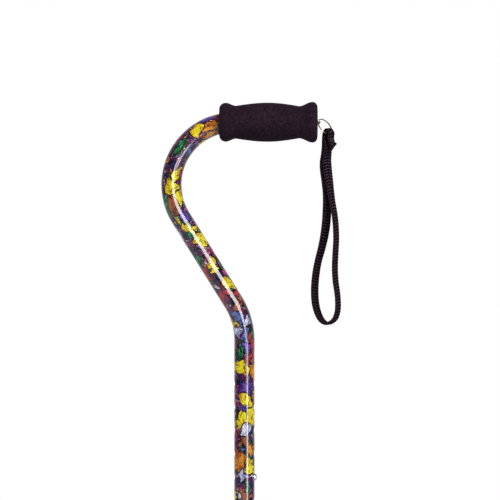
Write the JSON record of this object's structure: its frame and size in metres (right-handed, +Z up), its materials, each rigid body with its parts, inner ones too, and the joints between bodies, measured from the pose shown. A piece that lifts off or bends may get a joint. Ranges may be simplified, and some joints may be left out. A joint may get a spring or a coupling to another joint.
{
  "type": "quad walking cane",
  "caption": "Height-adjustable walking cane with a foam offset handle on a bent printed tube, a braided wrist strap and a small base on rubber-tipped feet.",
  "frame": {"origin": "on the floor, under the middle of the base's footprint", "axes": "+X along the grip towards its free end, +Y across the base towards the far feet, +Z up"},
  "size_m": [0.2068, 0.15, 0.8381],
  "materials": {
    "printed_tube": "gloss",
    "foam": "matte",
    "black_plastic": "matte",
    "white_plastic": "satin",
    "nickel": "polished",
    "strap": "matte",
    "anodised": "satin",
    "spring_steel": "polished",
    "black_steel": "satin",
    "zinc": "satin",
    "rubber": "matte"
  },
  "bodies": {
    "base": {"base_post": "black_steel", "post_plug": "black_plastic", "near_leg_hoop": "black_steel", "far_leg_hoop": "black_steel", "saddle_washers": "black_plastic", "base_bolt": "zinc", "base_nut": "zinc", "tip_near_left": "rubber", "tip_near_right": "rubber", "tip_far_left": "rubber", "tip_far_right": "rubber", "tip_washers": "zinc", "lower_tube": "anodised", "tube_glide": "black_plastic", "snap_spring": "spring_steel"},
    "button": {"snap_button": "spring_steel"},
    "collet": {"collet": "white_plastic"},
    "handle": {"handle_tube": "printed_tube", "foam_grip": "foam", "end_plug": "black_plastic", "strap_eye": "nickel", "thread_sleeve": "black_plastic"},
    "lock_nut": {"lock_nut": "black_plastic"},
    "ring": {"strap_ring": "nickel"},
    "wrist_loop": {"wrist_strap": "strap"}
  },
  "joints": [
    {"name": "button_press", "type": "slide", "parent": "base", "child": "button", "axis": [1, 0, 0], "range_m": [-0.0042, 0], "stiffness_N_per_m": 1500, "springref_m": 0.002, "deforming": ["snap_spring"]},
    {"name": "height_adjust", "type": "slide", "parent": "base", "child": "collet", "axis": [0, 0, 1], "range_m": [-0.1016, 0.127], "deforming": ["snap_button"]},
    {"name": "handle_swivel", "type": "hinge", "parent": "collet", "child": "handle", "pos_m": [0, -0.025, 0.27], "axis": [0, 0, 1], "range_deg": [0, 180], "deforming": ["snap_button"]},
    {"name": "collar_twist", "type": "hinge", "parent": "handle", "child": "lock_nut", "pos_m": [0, -0.025, 0.275], "axis": [0, 0, 1], "range_deg": [-540, 0]},
    {"name": "ring_swing", "type": "hinge", "parent": "handle", "child": "ring", "pos_m": [0.08023, -0.02475, 0.81576], "axis": [0, -0.6947, -0.7193], "range_deg": [-8, 80]},
    {"name": "strap_swing", "type": "hinge", "parent": "ring", "child": "wrist_loop", "pos_m": [0.0918, -0.02383, 0.80323], "axis": [-0.6641, -0.7476, 0], "range_deg": [-20, 70]}
  ]
}
